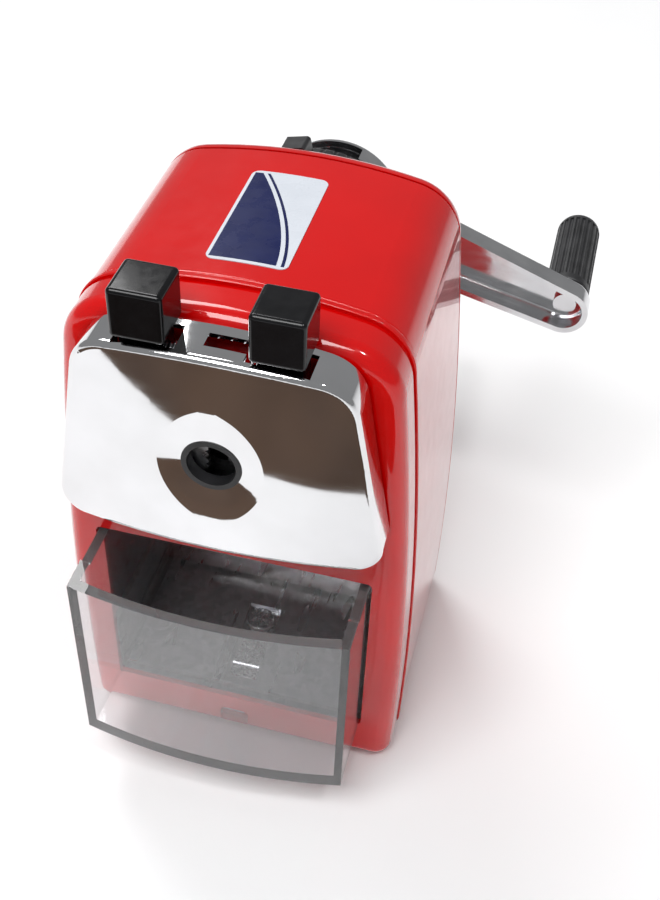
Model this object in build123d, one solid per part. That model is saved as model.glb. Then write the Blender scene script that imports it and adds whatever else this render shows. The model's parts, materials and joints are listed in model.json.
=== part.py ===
"""Crank pencil sharpener with auto-feed plate, squeeze tabs, helical cutter and clear drawer.

Millimetres, +Z up, X to the right, Y towards the rear (the crank side).  The origin is the centre
of the base, on the face that rests on the desk.  The pencil, cutter and crank share one axis,
which runs along Y at the height AXIS_Z.
"""

import os
from math import asin, atan, atan2, cos, degrees, hypot, pi, radians, sin, sqrt, tan

from build123d import *

os.makedirs("parts", exist_ok=True)

# ---- driving dimensions: casing ----
SHEET = 1.2  # enamelled steel wall
BASE_Z = 1.0  # underside of the casing, above the rubber mat's foot
HALF_WIDTH_LOW = 35.6
HALF_WIDTH_MIDDLE = 35.4
MIDDLE_Z = 55.0
HALF_WIDTH_TOP = 30.5
CORNER_Z = 114.3
TOP_Z = 118.4
TOP_CORNER_R = 11.5
BOTTOM_CORNER_R = 4.0
FRONT_Y = -30.0
FRONT_SEAM_Y = -18.8
REAR_SEAM_Y = 25.6
REAR_Y = 30.0
SEAM_GAP = 0.25
FRONT_EDGE_R = 3.4
REAR_EDGE_R = 3.9
AXIS_Z = 93.1
SCREW_PLACES = ((-25.5, 8.0), (25.5, 8.0), (-23.4, 103.4), (23.4, 103.4))
SCREW_R = 1.5

# ---- driving dimensions: base and frame ----
BASE_TOP_Z = BASE_Z + SHEET
FLOOR_SHEET = 1.4
FLOOR_HALF_WIDTH = 31.0
FLOOR_Y = (FRONT_Y + FRONT_EDGE_R + 0.2, REAR_SEAM_Y)
SHELF_Z = 12.6
FRONT_WALL_Y = (-22.0, -20.6)
REAR_WALL_Y = (20.6, 22.0)
FRAME_HALF_WIDTH = 27.6
FRAME_Z = (66.0, 112.4)
DECK_Z = 63.0
POST_R = 3.0

# ---- driving dimensions: drawer ----
DRAWER_HALF_WIDTH = 28.3
DRAWER_BOTTOM_Z = 12.9
DRAWER_TOP_Z = 59.2
DRAWER_STEP = 0.8  # the side walls behind the front block are this much lower
DRAWER_STEP_LENGTH = 7.0
DRAWER_FRONT_Y = -46.2  # front corners, drawer pulled out
DRAWER_REAR_Y = 5.5
DRAWER_BOW = 3.0
DRAWER_WALL = 2.0
DRAWER_BOSS_Y = -9.7
OPENING_HALF_WIDTH = 28.8
OPENING_Z = (12.6, 59.5)
CLAMP_SLOT = (6.6, 5.4)  # width and height of the desk clamp's way in
CLAMP_SLOT_R = 1.6
CLAMP_SLOT_Z = 5.4

# ---- driving dimensions: auto-feed face ----
FACE_FRONT_Y = -40.7
FACE_REAR_Y = -31.0
FACE_BOW_R = 150.0
FACE_SHEET = 0.8
FACE_CORNER_R = (8.5, 5.0)  # top, bottom
FACE_ARCH = 228.0  # the top arch drops by half width squared over this
FACE_BOTTOM_Z = 71.8
FACE_TOP_Z = 117.6
FACE_HALF_BOTTOM = 32.2
FACE_HALF_TOP = 24.6
DISH_R = 14.0
DISH_DEPTH = 1.6
HOLE_R = 4.55
ROD_R = 1.75
ROD_X = 21.5
ROD_REAR_Y = 27.5
PIVOT_X = 9.5
PIVOT_Z = 107.5
PIVOT_R = 1.5
RUNNING_GAP = 0.05
PRESS_GAP = 0.01
GUIDE_R = 5.6  # outside of the pencil guide
BACKING_Y = (-33.4, -32.2)  # plate inside the face
ROD_BUSH_R = 3.2
SPRING_R = 2.6
SPRING_Y = (-19.4, 26.0)  # feed springs, between bush and clip

# ---- driving dimensions: tabs ----
TAB_X = 11.9
TAB_WIDTH = 9.6
TAB_DEPTH = 9.6
TAB_TOP_Z = 128.0
TAB_HEIGHT = 9.7
TAB_REAR_Y = -30.6
STEM_HALF_WIDTH = 3.9
STEM_Y = (-38.0, -33.0)
STEM_BOTTOM_Z = 111.4
TAB_SLOT_X = (5.9, 17.2)  # slot round each stem, measured from the middle
TAB_SLOT_Y = (-38.9, -32.6)
NOTCH_X = (-1.5, 6.0)  # narrower notch that joins the right slot
NOTCH_Y = (-36.9, -33.4)
LEVER_HALF_WIDTH = 3.0
LEVER_TOP_Z = 120.0
JAW_Y = ((-36.4, -35.1), (-34.9, -33.6))  # left lever, right lever
JAW_GAP = 1.6  # half the gap between the closed jaws
JAW_SPRING_Z = 113.6

# ---- driving dimensions: cutter ----
CONE_HALF_ANGLE = 10.2  # degrees, half the cone cut on the pencil
CUTTER_R = 6.3
CUTTER_Y = (-13.0, 7.0)
TIP_Y = 5.0  # the cone's point on the axis
FLUTES = 12
CUTTER_TOOTH = 0.9
HELIX_TWIST = 100.0  # degrees over the cutter's length
RING_TEETH = 24
PINION_TEETH = 12
GEAR_Y = 11.5  # middle plane of the ring gear
GEAR_WIDTH = 4.0
SPINDLE_R = 1.5
SPINDLE_Y = (-17.0, 16.0)
SHAFT_R = 3.0
PRESSURE = radians(20)
BACKLASH = 0.16
BUSH_R = 9.5  # carrier's front bearing
BUSH_WALL = 2.0
NOSE_R = 8.4
SLOPE = radians(CONE_HALF_ANGLE)
TIP_OFFSET = (CUTTER_R + 0.15) / cos(SLOPE)  # cutter axis above the pencil axis, at the cone's point
APEX_Y = TIP_Y + TIP_OFFSET / tan(SLOPE)  # where the cutter's axis meets the pencil's axis
APEX_DISTANCE = APEX_Y - GEAR_Y
PINION_CONE = atan2(sin(SLOPE), RING_TEETH / PINION_TEETH - cos(SLOPE))
RING_CONE = PINION_CONE + SLOPE
RING_PITCH_R = APEX_DISTANCE * tan(RING_CONE)
PINION_DISTANCE = APEX_DISTANCE / cos(RING_CONE) * cos(PINION_CONE)
PINION_PITCH_R = PINION_DISTANCE * tan(PINION_CONE)

# ---- driving dimensions: crank ----
HOLDER_R = 20.5
HOLDER_REAR_Y = 37.6
SLEEVE_R = 17.0
RING_OUTER_R = 14.6
ARM_REAR_Y = 53.0
ARM_DEPTH = 6.0
ARM_SHEET = 1.3
HUB_END_R = 14.5
ARM_ROOT = 8.9  # half the bar's height at the hub's centre
TIP_END_R = 5.6
KNOB_X = 54.5
KNOB_Z = 76.0
KNOB_R = 5.1
KNOB_Y = (53.6, 83.0)
KNOB_RIBS = 22
KNOB_PIN_R = 1.6
RIVET_R = 2.6
SQUARE = 4.2  # drive square on the shaft
ARM_LENGTH = hypot(KNOB_X, AXIS_Z - KNOB_Z)
ARM_ANGLE = degrees(atan2(KNOB_Z - AXIS_Z, KNOB_X))


# ---- shared helpers ----
def slab(sketch, y0, y1):
    """Extrude a sketch drawn in (x, z) from y0 to y1."""
    return extrude(Plane.XZ.offset(-y1) * sketch, y1 - y0)


def rod(radius, y0, y1, x=0.0, z=AXIS_Z):
    """A cylinder along Y."""
    return slab(Pos(x, z) * Circle(radius), y0, y1)


def tube(outer, inner, y0, y1, x=0.0, z=AXIS_Z):
    """A round tube along Y."""
    return slab(Pos(x, z) * Circle(outer) - Pos(x, z) * Circle(inner), y0, y1)


def block(x0, x1, y0, y1, z0, z1):
    """A box between two corners."""
    return Pos((x0 + x1) / 2, (y0 + y1) / 2, (z0 + z1) / 2) * Box(x1 - x0, y1 - y0, z1 - z0)


def save(shape, node):
    """Write one sub-part; several solids in one node stay separate solids."""
    solids = shape if isinstance(shape, list) else [shape]
    found = [solid for item in solids for solid in item.solids()]
    export_step(found[0] if len(found) == 1 else Compound(children=found), f"parts/{node}.step")
    return found


def front_edges(solid):
    """Edges of the face nearest the front."""
    return solid.faces().sort_by(Axis.Y)[0].edges()


def rear_edges(solid):
    """Edges of the face nearest the rear."""
    return solid.faces().sort_by(Axis.Y)[-1].edges()


def grown(face, grow, top_r, bottom_r):
    """Offset a four-sided outline, then round its two upper and two lower corners to suit."""
    face = offset(face, amount=grow, kind=Kind.INTERSECTION) if grow else face
    face = fillet(face.vertices().sort_by(Axis.Y)[-2:], top_r + grow)
    return fillet(face.vertices().sort_by(Axis.Y)[:2], bottom_r + grow)


# ---- casing ----
def casing_outline(grow=0.0):
    """The body's front view: slightly barrelled sides and a flat arched top."""
    foot_end = (HALF_WIDTH_LOW, BASE_Z)
    middle = (HALF_WIDTH_MIDDLE, MIDDLE_Z)
    shoulder = (HALF_WIDTH_TOP, CORNER_Z)
    foot = Line((-foot_end[0], foot_end[1]), foot_end)
    right = ThreePointArc(foot_end, middle, shoulder)
    roof = ThreePointArc(shoulder, (0, TOP_Z), (-shoulder[0], shoulder[1]))
    left = ThreePointArc((-shoulder[0], shoulder[1]), (-middle[0], middle[1]), (-foot_end[0], foot_end[1]))
    return grown(make_face([foot, right, roof, left]), grow, TOP_CORNER_R, BOTTOM_CORNER_R)


def front_casing():
    """Front shell: rounded front edge, a groove and a bead round its rear rim."""
    groove_y = (-21.6, -20.3)
    groove_depth = 0.5
    bead = 0.35
    bead_round = 0.3
    shell = slab(casing_outline(), FRONT_Y, groove_y[0])
    shell = fillet(front_edges(shell), FRONT_EDGE_R)
    rim = slab(casing_outline(bead), groove_y[1], FRONT_SEAM_Y - SEAM_GAP / 2)
    rim = fillet(front_edges(rim) + rear_edges(rim), bead_round)
    shell += slab(casing_outline(-groove_depth), groove_y[0] - 0.1, groove_y[1] + 0.1) + rim
    hollow = slab(casing_outline(-SHEET), FRONT_Y + SHEET, FRONT_SEAM_Y + 1)
    hollow = fillet(front_edges(hollow), FRONT_EDGE_R - SHEET)
    shell -= hollow
    opening_height = OPENING_Z[1] - OPENING_Z[0]
    opening = Pos(0, sum(OPENING_Z) / 2) * RectangleRounded(2 * OPENING_HALF_WIDTH, opening_height, 1.2)
    wall = (FRONT_Y - 1, FRONT_Y + SHEET + 1)
    shell -= slab(opening, *wall)
    shell -= rod(NOSE_R + 0.6, *wall)
    shell -= slab(Pos(0, CLAMP_SLOT_Z) * RectangleRounded(*CLAMP_SLOT, CLAMP_SLOT_R), *wall)
    for x in (-ROD_X, ROD_X):
        shell -= rod(ROD_R + 1.6, *wall, x=x)
    return shell


def main_shell():
    """Sheet wrapped over the top and sides, with flanges turned under the base."""
    y0 = FRONT_SEAM_Y + SEAM_GAP / 2
    y1 = REAR_SEAM_Y - SEAM_GAP / 2
    edge_round = 0.5
    flange = 4.0
    skin = slab(casing_outline(), y0, y1)
    skin = fillet(front_edges(skin) + rear_edges(skin), edge_round)
    skin -= slab(casing_outline(-SHEET), y0 - 1, y1 + 1)
    half = HALF_WIDTH_LOW - SHEET - flange
    return skin - block(-half, half, y0 - 1, y1 + 1, BASE_Z - 1, BASE_Z + SHEET)


def rear_cover():
    """Rear shell with a generously rounded edge and the round way in for the cutter unit."""
    shell = slab(casing_outline(), REAR_SEAM_Y + SEAM_GAP / 2, REAR_Y)
    shell = fillet(rear_edges(shell), REAR_EDGE_R)
    hollow = slab(casing_outline(-SHEET), REAR_SEAM_Y - 1, REAR_Y - SHEET)
    hollow = fillet(rear_edges(hollow), REAR_EDGE_R - SHEET)
    shell -= hollow
    shell -= rod(SLEEVE_R + 0.3, REAR_Y - SHEET - 1, REAR_Y + 1)
    for x, z in SCREW_PLACES:
        shell -= rod(SCREW_R + 0.2, REAR_Y - SHEET - 1, REAR_Y + 1, x=x, z=z)
    return shell


def screw(x, z, head_y, head_r, shank_r, length):
    """Pan-head screw along Y, driven from the rear, with a cross recess."""
    head = rod(head_r, head_y, head_y + 1.5, x=x, z=z)
    head = fillet(rear_edges(head), 0.7)
    cross = block(x - 1.5, x + 1.5, head_y + 0.7, head_y + 2, z - 0.3, z + 0.3)
    cross += block(x - 0.3, x + 0.3, head_y + 0.7, head_y + 2, z - 1.5, z + 1.5)
    return head - cross + rod(shank_r, head_y - length, head_y, x=x, z=z)


# ---- base and frame ----
def base_plate():
    """Steel floor pan with two upturned flanges that carry the drawer shelf."""
    pan = block(-FLOOR_HALF_WIDTH, FLOOR_HALF_WIDTH, *FLOOR_Y, BASE_TOP_Z, BASE_TOP_Z + FLOOR_SHEET)
    for side in (-1, 1):
        x0, x1 = sorted((side * FLOOR_HALF_WIDTH, side * (FLOOR_HALF_WIDTH - FLOOR_SHEET)))
        pan += block(x0, x1, *FLOOR_Y, BASE_TOP_Z, SHELF_Z - SHEET)
    return pan


def rubber_mat():
    """Non-slip mat let into the underside; it stands proud of the casing."""
    mat = extrude(RectangleRounded(58.0, 36.0, 5.0), BASE_TOP_Z)
    return chamfer(mat.faces().sort_by(Axis.Z)[0].edges(), 0.4)


def drawer_shelf():
    """Shelf the drawer slides on, with low side guides and a pocket for the catch spring."""
    guide_height = 14.0
    pocket_half = 4.2
    shelf = block(-FLOOR_HALF_WIDTH, FLOOR_HALF_WIDTH, *FLOOR_Y, SHELF_Z - SHEET, SHELF_Z)
    for side in (-1, 1):
        x0, x1 = sorted((side * FLOOR_HALF_WIDTH, side * (FLOOR_HALF_WIDTH - SHEET)))
        shelf += block(x0, x1, *FLOOR_Y, SHELF_Z - SHEET, SHELF_Z + guide_height)
    return shelf - block(-pocket_half, pocket_half, -26.0, -4.0, SHELF_Z - SHEET - 1, SHELF_Z + 1)


def drawer_catch():
    """Leaf spring under the shelf; its hump presses on the drawer's floor."""
    thickness = 0.4
    low = SHELF_Z - SHEET - thickness
    leaf = block(-3.2, 3.2, -23.0, 4.0, low, low + thickness)
    hump = Pos(0, -19.5, low) * Rot(0, 90, 0) * Cylinder(1.35, 6.4)
    rivet = Pos(0, 0, low - 0.8) * Cylinder(2.0, 0.8, align=(Align.CENTER, Align.CENTER, Align.MIN))
    return leaf + (hump & block(-4, 4, -25, -15, low, low + 2)) + rivet


def bulkhead(y0, y1):
    """A frame wall: flat at the deck, arched to stay inside the casing."""
    wall = slab(Pos(0, sum(FRAME_Z) / 2) * Rectangle(2 * FRAME_HALF_WIDTH, FRAME_Z[1] - FRAME_Z[0]), y0, y1)
    corners = wall.edges().filter_by(Axis.Y).group_by(Axis.Z)[-1]
    return fillet(corners, 7.0)


def bearing_frame():
    """Two bulkheads on a slotted deck: carries the bushes, the rods and the cutter unit."""
    frame = bulkhead(*FRONT_WALL_Y) + bulkhead(*REAR_WALL_Y)
    for side in (-1, 1):
        x0, x1 = sorted((side * FRAME_HALF_WIDTH, side * (FRAME_HALF_WIDTH - 1.4)))
        frame += block(x0, x1, FRONT_WALL_Y[0], REAR_WALL_Y[1], DECK_Z, 76.0)
        x0, x1 = sorted((side * FRAME_HALF_WIDTH, side * 33.0))
        frame += block(x0, x1, FRONT_WALL_Y[0], REAR_WALL_Y[1], DECK_Z, DECK_Z + 1.4)
    frame -= rod(BUSH_R, FRONT_WALL_Y[0] - 1, FRONT_WALL_Y[1] + 1)
    frame -= rod(SLEEVE_R + 0.1, REAR_WALL_Y[0] - 1, REAR_WALL_Y[1] + 1)
    for x in (-ROD_X, ROD_X):
        frame -= rod(ROD_BUSH_R, FRONT_WALL_Y[0] - 1, FRONT_WALL_Y[1] + 1, x=x)
        frame -= rod(SPRING_R + 1.0, REAR_WALL_Y[0] - 1, REAR_WALL_Y[1] + 1, x=x)
    return frame


def frame_posts():
    """Tapped spacers: two on the rear bulkhead, two blocks between base pan and shelf."""
    front_y = 17.0
    posts = []
    for x, z in SCREW_PLACES:
        if z > DECK_Z:
            post = rod(POST_R, REAR_WALL_Y[1], REAR_Y - SHEET, x=x, z=z)
        else:
            low_z = BASE_TOP_Z + FLOOR_SHEET
            post = block(x - POST_R, x + POST_R, front_y, REAR_SEAM_Y, low_z, SHELF_Z - SHEET)
            post += rod(POST_R - 0.2, REAR_SEAM_Y, REAR_Y - SHEET, x=x, z=z)
        posts.append(post - rod(SCREW_R, front_y - 1, REAR_Y, x=x, z=z))
    return posts


# ---- cutter unit ----
def cutter_frame():
    """Plane on the cutter's axis at the apex, its normal pointing to the front along the axis."""
    return Plane(origin=(0, APEX_Y, AXIS_Z), x_dir=(1, 0, 0), z_dir=(0, -cos(SLOPE), sin(SLOPE)))


def involute_flank(pitch_r, tip_r, root_r, half_tooth):
    """(radius, angle) pairs up one flank; half_tooth is the tooth's half angle at pitch_r."""
    base_r = pitch_r * cos(PRESSURE)
    at_pitch = tan(PRESSURE) - PRESSURE
    steps = 5
    start = max(base_r, root_r)
    flank = []
    if root_r < base_r:
        flank.append((root_r, half_tooth + at_pitch))
    for step in range(steps + 1):
        radius = start + (tip_r - start) * step / steps
        roll = sqrt(max((radius / base_r) ** 2 - 1, 0))
        flank.append((radius, half_tooth + at_pitch - (roll - atan(roll))))
    return flank


def gear_outline(pitch_r, teeth, tip_r, root_r, half_tooth):
    """Closed gear outline as a polygon, teeth outwards, one of them at the top."""
    points = []
    flank = involute_flank(pitch_r, tip_r, root_r, half_tooth)
    for tooth in range(teeth):
        centre = pi / 2 + 2 * pi * tooth / teeth
        for radius, angle in flank:
            points.append((radius * cos(centre - angle), radius * sin(centre - angle)))
        for radius, angle in reversed(flank):
            points.append((radius * cos(centre + angle), radius * sin(centre + angle)))
    return make_face(Polyline(*points, close=True))


def bevel(outline, plane, distance, width):
    """Loft an outline towards the apex, from distance + width / 2 down to distance - width / 2."""
    ends = []
    for at in (distance - width / 2, distance + width / 2):
        ends.append(plane.offset(at) * scale(outline, at / distance))
    return loft(ends, ruled=True)


def ring_gear():
    """Internal gear fixed in the holder's sleeve; the pinion rolls round inside it."""
    module = 2 * RING_PITCH_R / RING_TEETH
    half_space = pi / (2 * RING_TEETH) + BACKLASH / (2 * RING_PITCH_R)
    deep_r = RING_PITCH_R + 1.0 * module
    shallow_r = RING_PITCH_R - 0.75 * module
    spaces = gear_outline(RING_PITCH_R, RING_TEETH, deep_r, shallow_r, half_space)
    plane = Plane(origin=(0, APEX_Y, AXIS_Z), x_dir=(1, 0, 0), z_dir=(0, -1, 0))
    cut = bevel(spaces, plane, APEX_DISTANCE, GEAR_WIDTH + 2)
    return rod(RING_OUTER_R, GEAR_Y - GEAR_WIDTH / 2, GEAR_Y + GEAR_WIDTH / 2) - cut


def cutter_pinion():
    """Bevelled pinion on the rear end of the cutter, in mesh at the top of the ring gear."""
    module = 2 * PINION_PITCH_R / PINION_TEETH
    half_tooth = pi / (2 * PINION_TEETH) - BACKLASH / (2 * PINION_PITCH_R)
    tip_r = PINION_PITCH_R + 0.75 * module
    root_r = PINION_PITCH_R - 1.0 * module
    teeth = gear_outline(PINION_PITCH_R, PINION_TEETH, tip_r, root_r, half_tooth)
    gear = bevel(teeth, cutter_frame(), PINION_DISTANCE, GEAR_WIDTH - 0.4)
    return gear - on_cutter_axis(Circle(SPINDLE_R + RUNNING_GAP), 1.0, APEX_DISTANCE + 30)


def on_cutter_axis(sketch, near, far):
    """Extrude a sketch along the cutter's axis between two distances from the apex."""
    return extrude(cutter_frame().offset(near) * sketch, far - near)


def along(y):
    """Distance from the apex, on the cutter's axis, of the point at depth y."""
    return (APEX_Y - y) / cos(SLOPE)


def helical_cutter():
    """Cylindrical milling cutter with helical teeth and a plain rear collar."""
    near = along(CUTTER_Y[1])
    far = along(CUTTER_Y[0])
    pitch = 2 * pi / FLUTES
    root_r = CUTTER_R - CUTTER_TOOTH
    corners = ((CUTTER_R, 0.0), (CUTTER_R, 0.14), (root_r, 0.55), (root_r, 0.92))  # radius, share of pitch
    points = []
    for flute in range(FLUTES):
        for radius, share in corners:
            angle = (flute + share) * pitch
            points.append((radius * cos(angle), radius * sin(angle)))
    profile = make_face(Polyline(*points, close=True))
    slices = 6
    stack = []
    for step in range(slices + 1):
        at = near + (far - near) * step / slices
        stack.append(cutter_frame().offset(at) * Rot(0, 0, HELIX_TWIST * step / slices) * profile)
    body = loft(stack, ruled=True)
    collar = on_cutter_axis(Circle(4.2), PINION_DISTANCE + GEAR_WIDTH / 2 - 0.2, near)
    return body + collar - on_cutter_axis(Circle(SPINDLE_R + RUNNING_GAP), 1.0, far + 5)


def cutter_spindle():
    """Fixed pin that the cutter turns on, pressed into both cheeks of the carrier."""
    return on_cutter_axis(Circle(SPINDLE_R), along(SPINDLE_Y[1]), along(SPINDLE_Y[0]))


def cutter_carrier():
    """Turning cage: front collar, two cheeks and the bridge opposite the cutter."""
    collar_y, front_y, rear_y = -22.6, (-17.6, -14.2), (15.0, 18.5)
    front_cheek_r = 15.6
    rear_cheek_r = 8.6
    pencil_r = 4.6
    cage = rod(front_cheek_r, *front_y) + rod(BUSH_R - BUSH_WALL - RUNNING_GAP, collar_y, front_y[0])
    cage += rod(rear_cheek_r, *rear_y)
    bridge = Pos(0, AXIS_Z) * (Circle(8.4) - Circle(5.2)) & Pos(0, AXIS_Z - 6.0) * Rectangle(11.0, 7.0)
    cage += slab(bridge, front_y[1] - 0.5, rear_y[0] + 0.5)
    cage -= rod(pencil_r, collar_y - 1, front_y[1] + 1)
    cage -= on_cutter_axis(Circle(SPINDLE_R), along(SPINDLE_Y[1]), along(SPINDLE_Y[0]))
    return cage - rod(SHAFT_R, 16.0, 30.0)


def front_bush():
    """Flanged bearing bush for the carrier's front collar."""
    pencil_r = 4.8
    nose_rear_y = -23.0
    bore_r = BUSH_R - BUSH_WALL
    nose = tube(NOSE_R, pencil_r, FRONT_Y - 0.5, nose_rear_y)
    nose = chamfer(nose.edges().filter_by(GeomType.CIRCLE).group_by(Axis.Y)[0], 0.6)
    bearing = tube(BUSH_R, bore_r, nose_rear_y, -18.2)
    return nose + bearing + tube(BUSH_R + 2.0, bore_r, FRONT_WALL_Y[0] - 1.2, FRONT_WALL_Y[0])


def cutter_holder():
    """Bayonet holder: sleeve round the gear, knurled flange with two grip ears, shaft bearing."""
    knurls = 48
    ear_tilt = 12
    front_y = REAR_Y + 0.2
    flange = rod(HOLDER_R, front_y, HOLDER_REAR_Y)
    flange = fillet(rear_edges(flange), 1.0)
    grooves = Sketch()
    for index in range(knurls):
        grooves += Pos(0, AXIS_Z) * Rot(0, 0, 360 * index / knurls) * Pos(HOLDER_R + 0.15, 0) * Circle(0.55)
    flange -= slab(grooves, REAR_Y - 1, HOLDER_REAR_Y + 1)
    ear = Pos(0, AXIS_Z) * Rot(0, 0, ear_tilt) * Rectangle(5.0, 48.0)
    ears = slab(ear, front_y, 35.2) - rod(HOLDER_R - 2.0, REAR_Y, HOLDER_REAR_Y + 1)
    ears = fillet(ears.edges().filter_by(Axis.Y).group_by(Axis.Z)[-1], 0.8)
    sleeve = tube(SLEEVE_R, RING_OUTER_R, GEAR_Y - GEAR_WIDTH / 2, REAR_Y + 0.5)
    hub = rod(6.0, 20.0, 40.0)
    web = rod(RING_OUTER_R + 1.0, 24.0, 27.0)
    holder = flange - rod(RING_OUTER_R, REAR_Y, 35.0) + ears + sleeve + web + hub
    return holder - rod(SHAFT_R + RUNNING_GAP, 15.0, 45.0)


def main_shaft():
    """Crank shaft: round journal, square drive for the arm, threaded end for the nut."""
    shaft = rod(SHAFT_R, 16.0, 41.5)
    shaft += slab(Pos(0, AXIS_Z) * Rectangle(SQUARE, SQUARE), 41.0, ARM_REAR_Y)
    return shaft + rod(2.0, ARM_REAR_Y - 0.5, ARM_REAR_Y + 4.4)


# ---- crank ----
def arm_outline(inset=0.0):
    """Round hub with a tapered bar, turned so that the bar ends at the knob pin."""
    tip_r = TIP_END_R - inset
    root = ARM_ROOT - inset
    hub = Circle(HUB_END_R - inset)
    tip = Pos(ARM_LENGTH, 0) * Circle(tip_r)
    lean = asin((ARM_ROOT - TIP_END_R) / ARM_LENGTH)
    tip_x, tip_z = ARM_LENGTH + tip_r * sin(lean), tip_r * cos(lean)
    corners = ((0, root), (tip_x, tip_z), (tip_x, -tip_z), (0, -root))
    sides = make_face(Polyline(*corners, close=True))
    return Pos(0, AXIS_Z) * Rot(0, 0, ARM_ANGLE) * (hub + sides + tip)


def crank_arm():
    """Pressed channel arm: web at the rear, flanges turned towards the body, open at the hub."""
    front_y = ARM_REAR_Y - ARM_DEPTH
    arm = slab(arm_outline(), front_y, ARM_REAR_Y)
    arm = fillet(rear_edges(arm), 1.4)
    hollow = slab(arm_outline(ARM_SHEET), front_y - 1, ARM_REAR_Y - ARM_SHEET)
    arm -= fillet(rear_edges(hollow), 0.6)
    open_end = Rot(0, 0, ARM_ANGLE) * Pos(-HUB_END_R, 0) * Rectangle(2 * HUB_END_R + 2, 4 * HUB_END_R)
    arm -= slab(Pos(0, AXIS_Z) * open_end, front_y - 1, ARM_REAR_Y - ARM_SHEET - 0.6)
    arm += tube(6.5, 3.4, ARM_REAR_Y - 0.4, ARM_REAR_Y + 0.8)
    square = Pos(0, AXIS_Z) * Rectangle(SQUARE + 2 * PRESS_GAP, SQUARE + 2 * PRESS_GAP)
    arm -= slab(square, front_y - 1, ARM_REAR_Y + 2)
    return arm - rod(KNOB_PIN_R, front_y - 1, ARM_REAR_Y + 1, x=KNOB_X, z=KNOB_Z)


def crank_collar():
    """Spacer between the holder's hub and the arm's web."""
    return tube(6.0, 3.1, 40.2, ARM_REAR_Y - ARM_SHEET)


def crank_nut():
    """Domed hexagon nut that clamps the arm on the shaft."""
    nut = slab(Pos(0, AXIS_Z) * RegularPolygon(4.2, 6), ARM_REAR_Y + 0.8, ARM_REAR_Y + 4.0)
    dome = Pos(0, ARM_REAR_Y + 3.2, AXIS_Z) * Sphere(3.4)
    dome &= rod(3.6, ARM_REAR_Y + 3.9, ARM_REAR_Y + 8)
    return nut + dome - rod(2.0, ARM_REAR_Y, ARM_REAR_Y + 4.4)


def knob_pin():
    """Rivet pin: head peened inside the channel, shank through the knob, stop head at the end."""
    web_y = ARM_REAR_Y - ARM_SHEET
    pin = rod(KNOB_PIN_R, web_y - 1.0, KNOB_Y[1] - 4.0, x=KNOB_X, z=KNOB_Z)
    pin += rod(RIVET_R, web_y - 1.4, web_y, x=KNOB_X, z=KNOB_Z)
    return pin + rod(RIVET_R, KNOB_Y[1] - 5.6, KNOB_Y[1] - 4.0, x=KNOB_X, z=KNOB_Z)


def crank_knob():
    """Ribbed grip with a plain collar and a domed end, hollow for its pin."""
    y0, y1 = KNOB_Y
    knob = rod(KNOB_R, y0, y1, x=KNOB_X, z=KNOB_Z)
    knob = fillet(rear_edges(knob), 3.0)
    knob = fillet(front_edges(knob), 0.5)
    grooves = Sketch()
    for index in range(KNOB_RIBS):
        place = Pos(KNOB_X, KNOB_Z) * Rot(0, 0, 360 * index / KNOB_RIBS)
        grooves += place * Pos(KNOB_R + 0.12, 0) * Circle(0.5)
    knob -= slab(grooves, y0 + 2.2, y1 - 3.2)
    knob -= rod(KNOB_PIN_R + RUNNING_GAP, y0 - 1, y1 - 3.5, x=KNOB_X, z=KNOB_Z)
    return knob - rod(RIVET_R + RUNNING_GAP, y1 - 5.9, y1 - 3.7, x=KNOB_X, z=KNOB_Z)


# ---- auto-feed face ----
def face_outline(inset=0.0):
    """The face's front view: a trapezoid under a flat arch, with rounded corners."""
    shoulder_z = FACE_TOP_Z - FACE_HALF_TOP**2 / FACE_ARCH
    foot = Line((-FACE_HALF_BOTTOM, FACE_BOTTOM_Z), (FACE_HALF_BOTTOM, FACE_BOTTOM_Z))
    right = Line((FACE_HALF_BOTTOM, FACE_BOTTOM_Z), (FACE_HALF_TOP, shoulder_z))
    roof = ThreePointArc((FACE_HALF_TOP, shoulder_z), (0, FACE_TOP_Z), (-FACE_HALF_TOP, shoulder_z))
    left = Line((-FACE_HALF_TOP, shoulder_z), (-FACE_HALF_BOTTOM, FACE_BOTTOM_Z))
    return grown(make_face([foot, right, roof, left]), -inset, *FACE_CORNER_R)


def bowed_front(behind):
    """Everything to the rear of the bowed front surface, moved back by behind."""
    radius = FACE_BOW_R - behind
    bow = Pos(0, FACE_FRONT_Y + FACE_BOW_R, AXIS_Z) * Cylinder(radius, 80)
    return bow & block(-60, 60, FACE_FRONT_Y - 1, FACE_REAR_Y, 60, 130)


def dish(behind):
    """Everything in front of the soft-rimmed hollow round the hole, moved back by behind."""
    steps = 8
    curve = []
    for step in range(steps + 1):
        radius = DISH_R * step / steps
        curve.append((radius, behind + DISH_DEPTH * (1 + cos(pi * step / steps)) / 2))
    front = -3.0
    hollow = Spline(*curve, tangents=((1, 0), (1, 0)))
    sides = Polyline(curve[-1], (DISH_R, front), (0, front), curve[0])
    profile = Plane((0, FACE_FRONT_Y, AXIS_Z)) * make_face([hollow, *sides.edges()])
    return revolve(profile, Axis((0, FACE_FRONT_Y, AXIS_Z), (0, 1, 0)))


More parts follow.
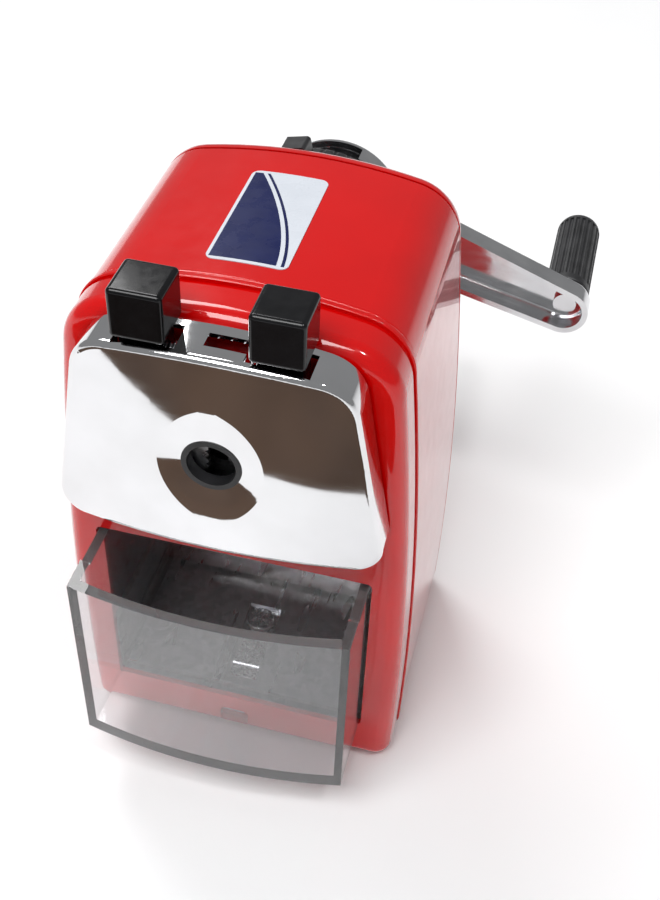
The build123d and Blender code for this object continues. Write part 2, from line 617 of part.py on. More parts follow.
def face_plate():
    """Deep-drawn cup: bowed front with rolled edges, dished hole, slots in the top wall."""
    edge_r = 1.3
    cup = slab(face_outline(), FACE_FRONT_Y - 1, FACE_REAR_Y) & bowed_front(0)
    cup = fillet(front_edges(cup), edge_r)
    room = bowed_front(FACE_SHEET) + block(-60, 60, FACE_REAR_Y - 0.1, FACE_REAR_Y + 2, 60, 130)
    cup -= slab(face_outline(FACE_SHEET), FACE_FRONT_Y - 1, FACE_REAR_Y + 1) & room
    cup += dish(FACE_SHEET) & rod(DISH_R, FACE_FRONT_Y + FACE_SHEET, FACE_REAR_Y)
    cup -= dish(0)
    cup -= rod(GUIDE_R, FACE_FRONT_Y - 2, FACE_FRONT_Y + 5)
    for side in (-1, 1):
        x0, x1 = sorted(side * x for x in TAB_SLOT_X)
        cup -= block(x0, x1, *TAB_SLOT_Y, PIVOT_Z, FACE_TOP_Z + 1)
    return cup - block(*NOTCH_X, *NOTCH_Y, PIVOT_Z, FACE_TOP_Z + 1)


def pencil_guide():
    """Black bush in the face's hole, flared at its mouth."""
    y0 = FACE_FRONT_Y + 0.9
    y1 = y0 + 2.6
    return tube(GUIDE_R, HOLE_R, y0, y1) + tube(GUIDE_R + 2.0, HOLE_R, y0 + 1.2, y1)


def face_backing():
    """Steel plate inside the face's rear rim: holds the rods, the pivots and the jaws in place."""
    through = (BACKING_Y[0] - 1, BACKING_Y[1] + 1)
    half = TAB_SLOT_X[1] + 1
    plate = slab(face_outline(FACE_SHEET + 0.05), *BACKING_Y) - rod(HOLE_R + 0.7, *through)
    plate -= block(-half, half, *through, PIVOT_Z + 2.6, TAB_TOP_Z)
    for side in (-1, 1):
        plate -= rod(ROD_R, *through, x=side * ROD_X)
        plate -= rod(PIVOT_R, *through, x=side * PIVOT_X, z=PIVOT_Z)
    return plate


def guide_rods():
    """Two ground rods with a shoulder against the backing plate."""
    head_y = BACKING_Y[0] - 1.2
    rods = []
    for side in (-1, 1):
        head = rod(ROD_R + 1.2, head_y, BACKING_Y[0], x=side * ROD_X)
        rods.append(head + rod(ROD_R, head_y, ROD_REAR_Y, x=side * ROD_X))
    return rods


def rod_bushes():
    """Flanged bushes for the rods, pressed into the front bulkhead."""
    bushes = []
    for side in (-1, 1):
        bush = tube(ROD_BUSH_R, ROD_R + RUNNING_GAP, -26.0, SPRING_Y[0], x=side * ROD_X)
        flange_y = (FRONT_WALL_Y[0] - 1.2, FRONT_WALL_Y[0])
        bush += tube(ROD_BUSH_R + 1.4, ROD_R + RUNNING_GAP, *flange_y, x=side * ROD_X)
        bushes.append(bush)
    return bushes


def rod_clips():
    """Retaining clips near the rods' rear ends; the springs bear on them."""
    y0 = SPRING_Y[1]
    return [tube(SPRING_R + 0.7, ROD_R, y0, y0 + 0.9, x=side * ROD_X) for side in (-1, 1)]


def feed_springs():
    """Compression springs on the rods, between the bushes and the clips."""
    wire_r = 0.25
    turns = 10
    y0, y1 = SPRING_Y
    length = y1 - y0 - 2 * wire_r
    helix = Helix(pitch=length / turns, height=length, radius=SPRING_R - wire_r)
    coil = sweep(Plane(origin=helix @ 0, z_dir=helix % 0) * Circle(wire_r), path=helix)
    return [Pos(side * ROD_X, y0 + wire_r, AXIS_Z) * Rot(-90, 0, 0) * coil for side in (-1, 1)]


# ---- jaws and tabs ----
def jaw_lever(side):
    """Clothes-peg lever: toothed jaw beside the hole, pivot eye, stem up into the tab."""
    y0, y1 = JAW_Y[0] if side < 0 else JAW_Y[1]
    eye_r = 3.6
    neck = 3.4
    stem_x = (TAB_X - LEVER_HALF_WIDTH, TAB_X + LEVER_HALF_WIDTH)
    stem = Polyline(
        (PIVOT_X - neck, PIVOT_Z + 1),
        (PIVOT_X + neck, PIVOT_Z + 1),
        (stem_x[1], STEM_BOTTOM_Z),
        (stem_x[1], LEVER_TOP_Z),
        (stem_x[0], LEVER_TOP_Z),
        (stem_x[0], STEM_BOTTOM_Z),
        close=True,
    )
    jaw = Polyline(
        (PIVOT_X - neck, PIVOT_Z),
        (PIVOT_X + neck, PIVOT_Z),
        (PIVOT_X + 1.5, AXIS_Z - 4.2),
        (JAW_GAP + 2.4, AXIS_Z - 5.4),
        (JAW_GAP, AXIS_Z - 3.6),
        (JAW_GAP, AXIS_Z + 3.6),
        close=True,
    )
    outline = Pos(PIVOT_X, PIVOT_Z) * Circle(eye_r) + make_face(stem) + make_face(jaw)
    outline -= Pos(PIVOT_X, PIVOT_Z) * Circle(PIVOT_R + RUNNING_GAP)
    for index in range(-2, 3):
        outline -= Pos(JAW_GAP, AXIS_Z + 1.5 * index) * Rot(0, 0, 45) * Rectangle(0.8, 0.8)
    lever = slab(outline, y0, y1)
    return mirror(lever, Plane.YZ) if side < 0 else lever


def jaw_pivots():
    """Pivot pins riveted in the backing plate, with a washer head in front of the levers."""
    head_y = (-37.6, -36.8)
    pins = []
    for side in (-1, 1):
        head = rod(PIVOT_R + 1.3, *head_y, x=side * PIVOT_X, z=PIVOT_Z)
        pins.append(head + rod(PIVOT_R, head_y[0], BACKING_Y[1], x=side * PIVOT_X, z=PIVOT_Z))
    return pins


def tab_cap(side):
    """Solid moulded cap: a soft-edged block on a narrower stem pressed over the lever."""
    x0 = TAB_X - TAB_WIDTH / 2
    y0 = TAB_REAR_Y - TAB_DEPTH
    head = block(x0, x0 + TAB_WIDTH, y0, TAB_REAR_Y, TAB_TOP_Z - TAB_HEIGHT, TAB_TOP_Z)
    head = fillet(head.edges(), 0.9)
    stem_x = (TAB_X - STEM_HALF_WIDTH, TAB_X + STEM_HALF_WIDTH)
    cap = head + block(*stem_x, *STEM_Y, STEM_BOTTOM_Z, TAB_TOP_Z - 2)
    pocket = JAW_Y[0] if side < 0 else JAW_Y[1]
    cap -= block(TAB_X - LEVER_HALF_WIDTH, TAB_X + LEVER_HALF_WIDTH, *pocket, PIVOT_Z, LEVER_TOP_Z)
    return mirror(cap, Plane.YZ) if side < 0 else cap


def jaw_spring():
    """Compression spring between the two stems, which keeps the jaws closed."""
    wire_r = 0.3
    outer_r = 1.9
    half = TAB_X - STEM_HALF_WIDTH
    turns = 8
    helix = Helix(pitch=2 * (half - wire_r) / turns, height=2 * (half - wire_r), radius=outer_r - wire_r)
    coil = sweep(Plane(origin=helix @ 0, z_dir=helix % 0) * Circle(wire_r), path=helix)
    return Pos(-half + wire_r, sum(NOTCH_Y) / 2, JAW_SPRING_Z) * Rot(0, 90, 0) * coil


# ---- drawer ----
def drawer_plan(inset=0.0):
    """Plan of the drawer: a rectangle whose front side is bowed outwards."""
    half = DRAWER_HALF_WIDTH - inset
    front = DRAWER_FRONT_Y + inset
    rear = DRAWER_REAR_Y - inset
    bow = ThreePointArc((-half, front), (0, front - DRAWER_BOW), (half, front))
    sides = Polyline((half, front), (half, rear), (-half, rear), (-half, front))
    return make_face([bow, *sides.edges()])


def drawer():
    """Clear tray: thick walls, bowed front, side walls a step lower behind the front block."""
    height = DRAWER_TOP_Z - DRAWER_BOTTOM_Z
    tray = extrude(Pos(0, 0, DRAWER_BOTTOM_Z) * drawer_plan(), height)
    tray -= extrude(Pos(0, 0, DRAWER_BOTTOM_Z + DRAWER_WALL) * drawer_plan(DRAWER_WALL), height)
    step_y = DRAWER_FRONT_Y + DRAWER_STEP_LENGTH
    tray -= block(-40, 40, step_y, DRAWER_REAR_Y + 1, DRAWER_TOP_Z - DRAWER_STEP, DRAWER_TOP_Z + 1)
    floor_z = DRAWER_BOTTOM_Z + DRAWER_WALL
    boss = Pos(0, DRAWER_BOSS_Y, floor_z) * Cylinder(3.4, 2 * 1.1)
    boss = fillet(boss.edges().group_by(Axis.Z)[-1], 0.9)
    return tray + boss


# ---- label ----
def top_label():
    """Self-adhesive label on the roof, following its arch."""
    film = 0.15
    plan = Pos(-1.5, 1.7) * RectangleRounded(15.3, 31.0, 1.6)
    skin = slab(casing_outline(film), FRONT_SEAM_Y, REAR_SEAM_Y) - slab(casing_outline(), FRONT_Y, REAR_Y)
    return extrude(Pos(0, 0, TOP_Z - 8) * plan, 16) & skin


save(front_casing(), "front_casing")
save(main_shell(), "main_shell")
save(rear_cover(), "rear_cover")
save([screw(x, z, REAR_Y, 2.8, SCREW_R, 7.0) for x, z in SCREW_PLACES], "case_screws")
save(base_plate(), "base_plate")
save(rubber_mat(), "rubber_mat")
save(drawer_shelf(), "drawer_shelf")
save(drawer_catch(), "drawer_catch")
save(bearing_frame(), "bearing_frame")
save(frame_posts(), "frame_posts")
save(front_bush(), "front_bush")
save(rod_bushes(), "rod_bushes")
save(ring_gear(), "ring_gear")
save(cutter_holder(), "cutter_holder")
save(top_label(), "top_label")

save(cutter_carrier(), "cutter_carrier")
save(cutter_spindle(), "cutter_spindle")
save(main_shaft(), "main_shaft")
save(crank_collar(), "crank_collar")
save(crank_arm(), "crank_arm")
save(crank_nut(), "crank_nut")
save(knob_pin(), "knob_pin")
save(crank_knob(), "crank_knob")
save(helical_cutter(), "helical_cutter")
save(cutter_pinion(), "cutter_pinion")

save(face_plate(), "face_plate")
save(pencil_guide(), "pencil_guide")
save(face_backing(), "face_backing")
save(guide_rods(), "guide_rods")
save(rod_clips(), "rod_clips")
save(feed_springs(), "feed_springs")
save(jaw_pivots(), "jaw_pivots")
save(jaw_spring(), "jaw_spring")
for name, side in (("left", -1), ("right", 1)):
    save(jaw_lever(side), f"jaw_lever_{name}")
    save(tab_cap(side), f"tab_cap_{name}")

save(drawer(), "drawer")
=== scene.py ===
"""Looks of the crank pencil sharpener: materials, springs, floor, light and camera round the CAD frame."""

import json
import math

import bmesh
import bpy
from mathutils import Matrix, Vector


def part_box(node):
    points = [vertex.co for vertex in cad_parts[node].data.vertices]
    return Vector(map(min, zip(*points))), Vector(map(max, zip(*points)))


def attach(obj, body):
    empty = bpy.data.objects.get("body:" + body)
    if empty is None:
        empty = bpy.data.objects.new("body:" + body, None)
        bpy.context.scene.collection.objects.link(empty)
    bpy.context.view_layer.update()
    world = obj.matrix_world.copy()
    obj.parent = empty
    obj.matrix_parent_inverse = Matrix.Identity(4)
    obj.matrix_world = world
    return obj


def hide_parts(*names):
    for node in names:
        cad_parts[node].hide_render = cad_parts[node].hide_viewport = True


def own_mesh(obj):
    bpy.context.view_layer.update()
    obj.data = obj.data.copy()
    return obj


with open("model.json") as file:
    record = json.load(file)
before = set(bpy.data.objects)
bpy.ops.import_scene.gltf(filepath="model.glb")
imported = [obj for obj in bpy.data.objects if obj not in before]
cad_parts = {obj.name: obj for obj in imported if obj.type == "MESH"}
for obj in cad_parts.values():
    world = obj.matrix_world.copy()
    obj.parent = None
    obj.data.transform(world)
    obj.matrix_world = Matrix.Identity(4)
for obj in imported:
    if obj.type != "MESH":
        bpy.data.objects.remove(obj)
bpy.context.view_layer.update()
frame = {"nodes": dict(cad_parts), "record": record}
MM = 0.001

# ---- camera ----
CAMERA_AT = Vector((0.0544, -0.1901, 0.2471))
CAMERA_AZIMUTH = math.radians(12.45)
CAMERA_ELEVATION = math.radians(43.17)
CAMERA_ROLL = math.radians(2.7)
CAMERA_LENS = 50.44  # millimetres
SENSOR_WIDTH = 36.0  # millimetres
CAMERA_CLIP = (0.005, 50.0)


def make_camera():
    """Camera at the viewing angle, with its small roll."""
    data = bpy.data.cameras.new("camera")
    data.lens = CAMERA_LENS
    data.sensor_width = SENSOR_WIDTH
    data.clip_start, data.clip_end = CAMERA_CLIP
    camera = bpy.data.objects.new("camera", data)
    bpy.context.scene.collection.objects.link(camera)
    level = math.cos(CAMERA_ELEVATION)
    back = Vector(
        (math.sin(CAMERA_AZIMUTH) * level, -math.cos(CAMERA_AZIMUTH) * level, math.sin(CAMERA_ELEVATION))
    )
    right = (-back).cross(Vector((0, 0, 1))).normalized()
    up = right.cross(-back)
    rolled_right = math.cos(CAMERA_ROLL) * right + math.sin(CAMERA_ROLL) * up
    rolled_up = math.cos(CAMERA_ROLL) * up - math.sin(CAMERA_ROLL) * right
    turn = Matrix((rolled_right, rolled_up, back)).transposed()
    camera.matrix_world = Matrix.Translation(CAMERA_AT) @ turn.to_4x4()
    bpy.context.scene.camera = camera


# ---- material helpers ----
class Paint:
    """A Principled material under construction, with its pattern nodes in the object's own space."""

    def __init__(self, name):
        self.material = bpy.data.materials.new(name)
        self.material.use_nodes = True
        self.tree = self.material.node_tree
        self.shader = self.tree.nodes["Principled BSDF"]
        self.coordinates = self.tree.nodes.new("ShaderNodeTexCoord").outputs["Object"]

    def set(self, **values):
        """Set plain values on the shader's own sockets; underscores stand for spaces."""
        for name, value in values.items():
            self.shader.inputs[name.replace("_", " ")].default_value = value
        return self

    def link(self, source, socket):
        """Join a pattern to one of the shader's sockets."""
        self.tree.links.new(source, self.shader.inputs[socket])
        return self

    def stretched(self, scale):
        """Object coordinates stretched by a scale on each axis."""
        node = self.tree.nodes.new("ShaderNodeMapping")
        node.inputs["Scale"].default_value = scale
        self.tree.links.new(self.coordinates, node.inputs["Vector"])
        return node.outputs["Vector"]

    def noise(self, scale, detail=3.0, stretch=(1.0, 1.0, 1.0), roughness=0.5):
        """Fractal noise; scale is in cycles per metre."""
        node = self.tree.nodes.new("ShaderNodeTexNoise")
        node.inputs["Scale"].default_value = scale
        node.inputs["Detail"].default_value = detail
        node.inputs["Roughness"].default_value = roughness
        self.tree.links.new(self.stretched(stretch), node.inputs["Vector"])
        return node.outputs["Fac"]

    def cells(self, scale):
        """Random value per cell, for crystal spangle and flecks."""
        node = self.tree.nodes.new("ShaderNodeTexVoronoi")
        node.inputs["Scale"].default_value = scale
        self.tree.links.new(self.coordinates, node.inputs["Vector"])
        return node.outputs["Color"]

    def remap(self, source, low, high, out_low, out_high):
        """Clamp a value between low and high and spread it from out_low to out_high."""
        node = self.tree.nodes.new("ShaderNodeMapRange")
        for name, value in zip(("From Min", "From Max", "To Min", "To Max"), (low, high, out_low, out_high)):
            node.inputs[name].default_value = value
        self.tree.links.new(source, node.inputs["Value"])
        return node.outputs["Result"]

    def math(self, operation, first, second):
        """Math node on two inputs, each a socket or a number."""
        node = self.tree.nodes.new("ShaderNodeMath")
        node.operation = operation
        for socket, value in zip(node.inputs, (first, second)):
            if isinstance(value, bpy.types.NodeSocket):
                self.tree.links.new(value, socket)
            else:
                socket.default_value = value
        return node.outputs["Value"]

    def near(self, source, middle, half_width):
        """1 where a value lies within half_width of the middle, else 0."""
        output = self.math("COMPARE", source, middle)
        output.node.inputs[2].default_value = half_width
        return output

    def mix(self, factor, first, second):
        """Blend two colours, each a socket or a triple, by a socket."""
        node = self.tree.nodes.new("ShaderNodeMix")
        node.data_type = "RGBA"
        self.tree.links.new(factor, node.inputs["Factor"])
        for name, value in zip(("A", "B"), (first, second)):
            socket = [s for s in node.inputs if s.name == name and s.type == "RGBA"][0]
            if isinstance(value, bpy.types.NodeSocket):
                self.tree.links.new(value, socket)
            else:
                socket.default_value = (*value, 1.0)
        return [s for s in node.outputs if s.type == "RGBA"][0]

    def bump(self, source, strength, distance, below=None):
        """Raise the surface by a pattern; distance in metres."""
        node = self.tree.nodes.new("ShaderNodeBump")
        node.inputs["Strength"].default_value = strength
        node.inputs["Distance"].default_value = distance
        self.tree.links.new(source, node.inputs["Height"])
        if below is not None:
            self.tree.links.new(below, node.inputs["Normal"])
        return node.outputs["Normal"]

    def tint(self, source, first, second, low=0.35, high=0.65):
        """Vary the base colour between two tints along a pattern."""
        return self.link(self.mix(self.remap(source, low, high, 0.0, 1.0), first, second), "Base Color")

    def gloss(self, source, smooth, rough, low=0.3, high=0.7):
        """Vary the roughness along a pattern."""
        return self.link(self.remap(source, low, high, smooth, rough), "Roughness")


# ---- materials ----
def red_enamel():
    """Sprayed gloss enamel: even red, faint orange peel, clear top gloss."""
    p = Paint("red_enamel")
    p.tint(p.noise(45.0), (0.58, 0.0, 0.0), (0.53, 0.0, 0.0))
    p.gloss(p.noise(260.0, 4.0), 0.16, 0.26)
    p.set(Coat_Weight=1.0, Coat_Roughness=0.02, Coat_IOR=1.5, IOR=1.2)
    peel = p.bump(p.noise(420.0, 2.0), 0.12, 0.00006)
    return p.link(p.bump(p.noise(2600.0, 1.0), 0.03, 0.00002, peel), "Normal").material


def chrome():
    """Polished plate with faint wiping marks and finger haze."""
    p = Paint("chrome")
    p.set(Metallic=1.0)
    p.tint(p.noise(70.0), (0.80, 0.80, 0.815), (0.74, 0.74, 0.75))
    wipes = p.noise(300.0, 3.0, (0.35, 1.0, 2.6))
    haze = p.noise(55.0, 4.0)
    p.gloss(p.math("MULTIPLY", wipes, haze), 0.025, 0.075, 0.12, 0.45)
    return p.link(p.bump(p.noise(130.0, 1.0), 0.05, 0.00005), "Normal").material


def plated_steel():
    """Bright nickel over pressed steel, with drawing lines."""
    p = Paint("plated_steel")
    p.set(Metallic=1.0)
    p.tint(p.noise(120.0), (0.76, 0.76, 0.77), (0.66, 0.66, 0.675))
    p.gloss(p.noise(500.0, 4.0, (0.3, 1.0, 1.0)), 0.09, 0.2)
    return p.link(p.bump(p.noise(700.0, 3.0, (0.3, 1.0, 1.0)), 0.12, 0.00003), "Normal").material


def zinc_steel():
    """Zinc plated sheet with a fine spangle and rolling marks."""
    p = Paint("zinc_steel")
    p.set(Metallic=1.0)
    p.tint(p.cells(700.0), (0.60, 0.61, 0.63), (0.43, 0.44, 0.46), 0.1, 0.9)
    p.gloss(p.noise(350.0, 4.0, (1.0, 0.2, 1.0)), 0.24, 0.42)
    return p.link(p.bump(p.noise(900.0, 3.0, (1.0, 0.2, 1.0)), 0.2, 0.00004), "Normal").material


def spring_steel():
    """Drawn wire: darker steel with lines along the wire."""
    p = Paint("spring_steel")
    p.set(Metallic=1.0)
    p.tint(p.noise(900.0), (0.55, 0.55, 0.57), (0.34, 0.34, 0.36))
    p.gloss(p.noise(1500.0), 0.2, 0.36)
    return p.link(p.bump(p.noise(2400.0, 2.0), 0.15, 0.00003), "Normal").material


def tool_steel():
    """Hardened and ground steel, straw to grey, with grinding lines."""
    p = Paint("tool_steel")
    p.set(Metallic=1.0)
    p.tint(p.noise(240.0), (0.42, 0.42, 0.44), (0.30, 0.28, 0.26))
    p.gloss(p.noise(600.0, 4.0, (1.0, 0.15, 1.0)), 0.2, 0.4)
    return p.link(p.bump(p.noise(1600.0, 2.0, (1.0, 0.15, 1.0)), 0.25, 0.00004), "Normal").material


def cast_zinc():
    """Die-cast alloy: soft grey with a fine grain."""
    p = Paint("cast_zinc")
    p.set(Metallic=1.0)
    p.tint(p.noise(180.0), (0.46, 0.46, 0.48), (0.36, 0.36, 0.38))
    p.gloss(p.noise(800.0), 0.38, 0.55)
    return p.link(p.bump(p.noise(1400.0, 4.0), 0.35, 0.00006), "Normal").material


def black_gloss():
    """Gloss moulded plastic, near black, with flow marks and specks of dust."""
    p = Paint("black_gloss")
    p.tint(p.noise(90.0), (0.003, 0.003, 0.0035), (0.007, 0.007, 0.008))
    p.gloss(p.noise(420.0, 4.0), 0.10, 0.20)
    p.set(Coat_Weight=0.12, Coat_Roughness=0.05, IOR=1.3)
    return p.link(p.bump(p.noise(380.0, 2.0), 0.1, 0.00008), "Normal").material


def black_plastic():
    """Satin moulded plastic."""
    p = Paint("black_plastic")
    p.tint(p.noise(150.0), (0.010, 0.010, 0.011), (0.022, 0.022, 0.024))
    p.gloss(p.noise(700.0, 4.0), 0.28, 0.42)
    return p.link(p.bump(p.noise(1800.0, 3.0), 0.2, 0.00004), "Normal").material


def black_grip():
    """Grip plastic: satin with fine spark-eroded grain."""
    p = Paint("black_grip")
    p.tint(p.noise(220.0), (0.012, 0.012, 0.013), (0.028, 0.028, 0.030))
    p.gloss(p.noise(900.0, 4.0), 0.34, 0.5)
    return p.link(p.bump(p.noise(2600.0, 3.0), 0.3, 0.00005), "Normal").material


def white_acetal():
    """Moulded acetal bushes."""
    p = Paint("white_acetal")
    p.tint(p.noise(200.0), (0.80, 0.80, 0.76), (0.70, 0.70, 0.66))
    p.gloss(p.noise(800.0), 0.35, 0.5)
    p.set(Subsurface_Weight=0.1, Subsurface_Scale=0.001)
    return p.link(p.bump(p.noise(1500.0), 0.1, 0.00003), "Normal").material


def clear_plastic():
    """Clear moulded styrene, faintly grey, with flow waves and light scuffs."""
    p = Paint("clear_plastic")
    p.set(Transmission_Weight=0.94, IOR=1.5)
    p.tint(p.noise(30.0), (0.985, 0.985, 0.995), (0.975, 0.975, 0.985))
    p.gloss(p.noise(500.0, 5.0, (1.0, 1.0, 0.3)), 0.0, 0.05, 0.55, 0.8)
    return p.link(p.bump(p.noise(28.0, 1.0), 0.05, 0.0004), "Normal").material


def rubber():
    """Matt black rubber with a fine pebble."""
    p = Paint("rubber")
    p.tint(p.noise(160.0), (0.020, 0.020, 0.020), (0.038, 0.038, 0.037))
    p.gloss(p.noise(600.0), 0.75, 0.9)
    return p.link(p.bump(p.noise(1500.0, 3.0), 0.5, 0.0001), "Normal").material


LABEL_CURVE_POWER = 1.7
LABEL_CURVE_REACH = 0.75  # how far the field's edge leans over, as a share of the width
LABEL_FIELD = 0.86  # where the edge meets the front, as a share of the width
LABEL_STRIPE_AT = 0.075
LABEL_STRIPE_HALF = 0.02
LABEL_INK_HALF = (0.46, 0.475)  # half the inked width and depth; the rest is the border


def label_film():
    """Printed film: silver-white ground and a dark blue field with a curved edge."""
    p = Paint("label_film")
    low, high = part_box("top_label")
    split = p.tree.nodes.new("ShaderNodeSeparateXYZ")
    p.tree.links.new(p.coordinates, split.inputs[0])
    across = p.remap(split.outputs["X"], low.x, high.x, 0.0, 1.0)
    depth = p.remap(split.outputs["Y"], low.y, high.y, 0.0, 1.0)
    lean = p.math("MULTIPLY", p.math("POWER", depth, LABEL_CURVE_POWER), LABEL_CURVE_REACH)
    edge = p.math("SUBTRACT", p.math("ADD", across, lean), LABEL_FIELD)
    field = p.math("LESS_THAN", edge, 0.0)
    stripe = p.near(edge, LABEL_STRIPE_AT, LABEL_STRIPE_HALF)
    inside = p.math(
        "MULTIPLY", p.near(across, 0.5, LABEL_INK_HALF[0]), p.near(depth, 0.5, LABEL_INK_HALF[1])
    )
    ink = p.math("MULTIPLY", p.math("MAXIMUM", field, stripe), inside)
    paper = p.mix(p.remap(p.noise(80.0), 0.3, 0.7, 0.0, 1.0), (0.62, 0.65, 0.70), (0.56, 0.59, 0.64))
    blue = p.mix(p.remap(p.noise(220.0), 0.3, 0.7, 0.0, 1.0), (0.004, 0.008, 0.060), (0.005, 0.010, 0.070))
    p.link(p.mix(ink, paper, blue), "Base Color")
    p.gloss(p.noise(300.0), 0.22, 0.34)
    p.set(Coat_Weight=0.15, Coat_Roughness=0.12, IOR=1.3)
    return p.link(p.bump(p.noise(500.0, 2.0), 0.08, 0.00003), "Normal").material


PAINTS = {
    "red_enamel": red_enamel,
    "chrome": chrome,
    "plated_steel": plated_steel,
    "zinc_steel": zinc_steel,
    "spring_steel": spring_steel,
    "tool_steel": tool_steel,
    "cast_zinc": cast_zinc,
    "black_gloss": black_gloss,
    "black_plastic": black_plastic,
    "black_grip": black_grip,
    "white_acetal": white_acetal,
    "clear_plastic": clear_plastic,
    "rubber": rubber,
    "label_film": label_film,
}


def paint_nodes(materials):
    """Give each CAD node the material of its slot in the record."""
    for part in frame["record"]["subparts"]:
        node = frame["nodes"][part["node"]]
        node.data.materials.clear()
        node.data.materials.append(materials[part["material_slot"]])


# ---- pieces built here ----
COIL_STEPS = 28  # wire sections per turn
WIRE_SIDES = 8
DEAD_TURNS = 1.25  # closed turns at each end of a coil
FEED_WIRE_R = 0.25 * MM
FEED_TURNS = 10.0
JAW_WIRE_R = 0.3 * MM
JAW_TURNS = 8.5


def mesh_piece(name, build, body, material):
    """Make a mesh object from a bmesh builder and let it ride on a body."""
    shape = bmesh.new()
    build(shape)
    bmesh.ops.recalc_face_normals(shape, faces=shape.faces)
    mesh = bpy.data.meshes.new(name)
    shape.to_mesh(mesh)
    shape.free()
    mesh.materials.append(material)
    for polygon in mesh.polygons:
        polygon.use_smooth = True
    piece = bpy.data.objects.new(name, mesh)
    bpy.context.scene.collection.objects.link(piece)
    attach(piece, body)
    return piece


def add_coil(shape, start, along, across, length, coil_r, wire_r, turns, share=(0.0, 1.0)):
    """Close-ended wire helix from start, its axis along one direction, or only a share of its wire."""
    up = along.cross(across)
    closed = 2 * wire_r * DEAD_TURNS
    free_turns = turns - 2 * DEAD_TURNS
    free_length = length - 2 * (wire_r + closed)
    first, last = (round(turns * COIL_STEPS * end) for end in share)
    loops = []
    for index in range(first, last + 1):
        turn = index / COIL_STEPS
        free = min(max(turn - DEAD_TURNS, 0.0), free_turns) / free_turns
        dead = turn - DEAD_TURNS - free * free_turns
        place = wire_r + closed + free * free_length + dead * 2 * wire_r
        angle = 2 * math.pi * turn
        outwards = across * math.cos(angle) + up * math.sin(angle)
        centre = start + along * place + outwards * coil_r
        loop = []
        for side in range(WIRE_SIDES):
            spin = 2 * math.pi * side / WIRE_SIDES
            loop.append(shape.verts.new(centre + wire_r * (outwards * math.cos(spin) + along * math.sin(spin))))
        loops.append(loop)
    for before, after in zip(loops, loops[1:]):
        for side in range(WIRE_SIDES):
            other = (side + 1) % WIRE_SIDES
            shape.faces.new((before[side], before[other], after[other], after[side]))
    shape.faces.new(loops[0][::-1])
    shape.faces.new(loops[-1])


def feed_springs(material):
    """Coils on the guide rods, riding on the housing."""
    low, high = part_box("feed_springs")
    length = high.y - low.y
    coil_r = (high.z - low.z) / 2 - FEED_WIRE_R
    middle_z = (high.z + low.z) / 2

    def build(shape):
        for x in (low.x + coil_r + FEED_WIRE_R, high.x - coil_r - FEED_WIRE_R):
            add_coil(
                shape, Vector((x, low.y, middle_z)), Vector((0, 1, 0)), Vector((1, 0, 0)),
                length, coil_r, FEED_WIRE_R, FEED_TURNS,
            )

    piece = mesh_piece("feed_spring_coils", build, "housing", material)
    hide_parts("feed_springs")
    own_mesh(piece)


def jaw_spring(material):
    """Coil between the two tab stems, built as two halves that ride on the face."""
    low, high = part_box("jaw_spring")
    coil_r = (high.z - low.z) / 2 - JAW_WIRE_R
    centre = (low + high) / 2
    start = Vector((low.x, centre.y, centre.z))
    for side, share in (("left", (0.0, 0.5)), ("right", (0.5, 1.0))):

        def build(shape, share=share):
            add_coil(
                shape, start, Vector((1, 0, 0)), Vector((0, 0, 1)),
                high.x - low.x, coil_r, JAW_WIRE_R, JAW_TURNS, share,
            )

        piece = mesh_piece(f"jaw_spring_coil_{side}", build, "face", material)
        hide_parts("jaw_spring")
        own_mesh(piece)


# ---- stage ----
TABLE_REACH = 4.0
BACKDROP_R = 1.1
BACKDROP_Z = (-0.2, 3.0)
BACKDROP_SIDES = 48
SURROUND = (0.86, 0.87, 0.88, 1.0)
SURROUND_STRENGTH = 0.30
# place and size of the card that only reflections see: a painted reflection in the chrome
CARD_CENTRE = Vector((-0.15, -0.297, 0.0005))
CARD_WIDTH = 0.62
CARD_DEPTH = 0.28
CARD_TURN = math.radians(8.0)


def hide_from(thing, *rays):
    """Make an object invisible to some kinds of ray."""
    for ray in rays:
        setattr(thing, f"visible_{ray}", False)


def stage_mesh(name, points, faces, material):
    """A mesh that belongs to the stage and not to the object."""
    mesh = bpy.data.meshes.new(name)
    mesh.from_pydata(points, [], faces)
    mesh.materials.append(material)
    thing = bpy.data.objects.new(name, mesh)
    bpy.context.scene.collection.objects.link(thing)
    return thing


def rectangle(width, depth):
    """Corners of a flat rectangle about the origin."""
    x, y = width / 2, depth / 2
    return [Vector((-x, -y, 0)), Vector((x, -y, 0)), Vector((x, y, 0)), Vector((-x, y, 0))]


def floor_paint():
    """Near-white table top."""
    p = Paint("table_white")
    p.tint(p.noise(6.0), (0.90, 0.90, 0.90), (0.88, 0.88, 0.885))
    p.gloss(p.noise(40.0), 0.6, 0.7)
    return p.material


def painted_reflection_paint():
    """Dark brown card seen only in reflections: a painted reflection for the bright metal."""
    p = Paint("painted_reflection_brown")
    p.tint(p.noise(9.0), (0.075, 0.040, 0.022), (0.035, 0.018, 0.010))
    p.gloss(p.noise(20.0), 0.8, 0.9)
    return p.material


def table():
    """Wide flat floor under the object."""
    stage_mesh("table", rectangle(2 * TABLE_REACH, 2 * TABLE_REACH), [(0, 1, 2, 3)], floor_paint())


def painted_reflection_card():
    """Plain rectangular card lying in front of the object, hidden from camera, diffuse and shadow rays: a
    painted dark reflection in its bright metal.
    """
    turn = Matrix.Rotation(CARD_TURN, 3, "Z")
    corners = [CARD_CENTRE + turn @ corner for corner in rectangle(CARD_WIDTH, CARD_DEPTH)]
    card = stage_mesh("painted_reflection_card", corners, [(0, 1, 2, 3)], painted_reflection_paint())
    hide_from(card, "camera", "diffuse", "shadow", "transmission")


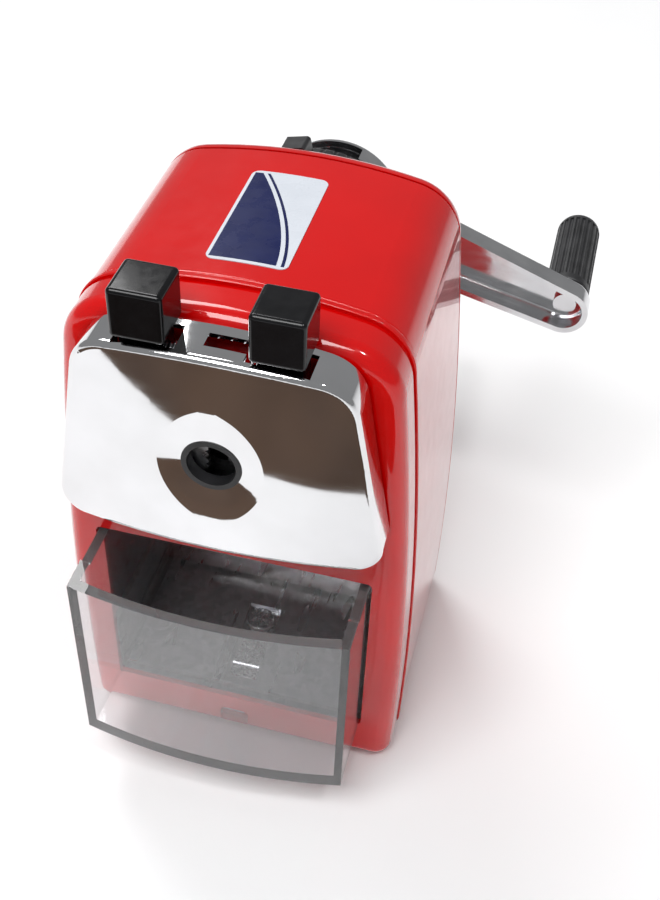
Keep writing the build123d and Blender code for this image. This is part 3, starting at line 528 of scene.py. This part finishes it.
def backdrop():
    """Pale wall round the table that only the camera sees."""
    paint = Paint("backdrop_white")
    paint.tint(paint.noise(2.0), (0.98, 0.98, 0.98), (0.96, 0.96, 0.965))
    paint.set(Emission_Color=(1.0, 1.0, 1.0, 1.0), Emission_Strength=0.95, Roughness=1.0)
    points = []
    for index in range(BACKDROP_SIDES):
        angle = 2 * math.pi * index / BACKDROP_SIDES
        points += [(BACKDROP_R * math.cos(angle), BACKDROP_R * math.sin(angle), z) for z in BACKDROP_Z]
    count = len(points)
    faces = [(i, (i + 2) % count, (i + 3) % count, i + 1) for i in range(0, count, 2)]
    wall = stage_mesh("backdrop", points, faces, paint.material)
    hide_from(wall, "diffuse", "glossy", "shadow", "transmission")


def area_light(name, at, towards, size, power):
    """Rectangular soft light; power in watts."""
    data = bpy.data.lights.new(name, "AREA")
    data.shape = "RECTANGLE"
    data.size, data.size_y = size
    data.energy = power
    lamp = bpy.data.objects.new(name, data)
    bpy.context.scene.collection.objects.link(lamp)
    lamp.location = at
    lamp.rotation_euler = (Vector(towards) - Vector(at)).to_track_quat("-Z", "Y").to_euler()
    return lamp


def make_stage():
    """Pale table and backdrop, a dark card seen only as a painted reflection in the chrome, soft lights and a
    pale surround.
    """
    table()
    painted_reflection_card()
    backdrop()
    area_light("front_soft", (-0.4, -1.1, 2.1), (0, 0, 0.02), (1.3, 1.0), 42.0)
    area_light("rear_soft", (-1.1, 1.3, 1.9), (0, 0, 0.02), (1.1, 0.9), 26.0)
    area_light("window_right", (0.30, -0.25, 0.80), (0, 0, 0.08), (0.05, 0.09), 1.2)
    world = bpy.data.worlds.new("surround")
    world.use_nodes = True
    background = world.node_tree.nodes["Background"]
    background.inputs["Color"].default_value = SURROUND
    background.inputs["Strength"].default_value = SURROUND_STRENGTH
    bpy.context.scene.world = world
    bpy.context.scene.view_settings.view_transform = "Standard"


def main():
    """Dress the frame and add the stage."""
    make_camera()
    materials = {name: build() for name, build in PAINTS.items()}
    paint_nodes(materials)
    feed_springs(materials["spring_steel"])
    jaw_spring(materials["spring_steel"])
    make_stage()


main()
